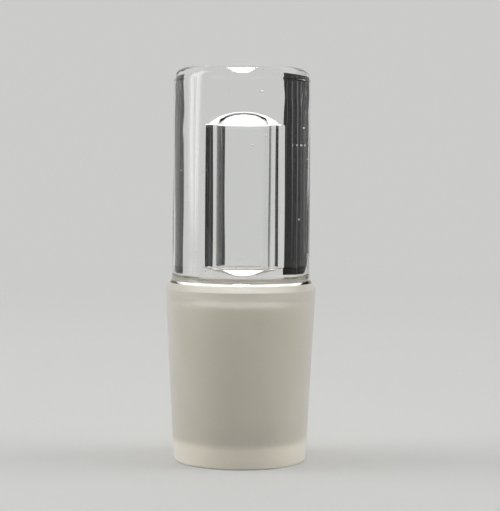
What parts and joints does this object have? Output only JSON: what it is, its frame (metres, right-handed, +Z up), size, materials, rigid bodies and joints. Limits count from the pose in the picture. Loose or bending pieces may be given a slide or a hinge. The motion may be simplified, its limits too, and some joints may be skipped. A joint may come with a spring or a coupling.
{
  "type": "glass stopper",
  "caption": "Clear glass stopper with a thick cylindrical head, sealed hollows and a ground taper plug that closes a flask's neck.",
  "frame": {"origin": "centre of the plug's flat foot, on the stopper's axis, where it stands on a bench", "axes": "+Z runs up the stopper's axis, from the foot through the plug to the head's flat top"},
  "size_m": [0.024, 0.024, 0.0623],
  "materials": {
    "glass": "clear polished glass, with a finely ground plug"
  },
  "bodies": {
    "root": {"stopper": "glass"}
  },
  "joints": []
}
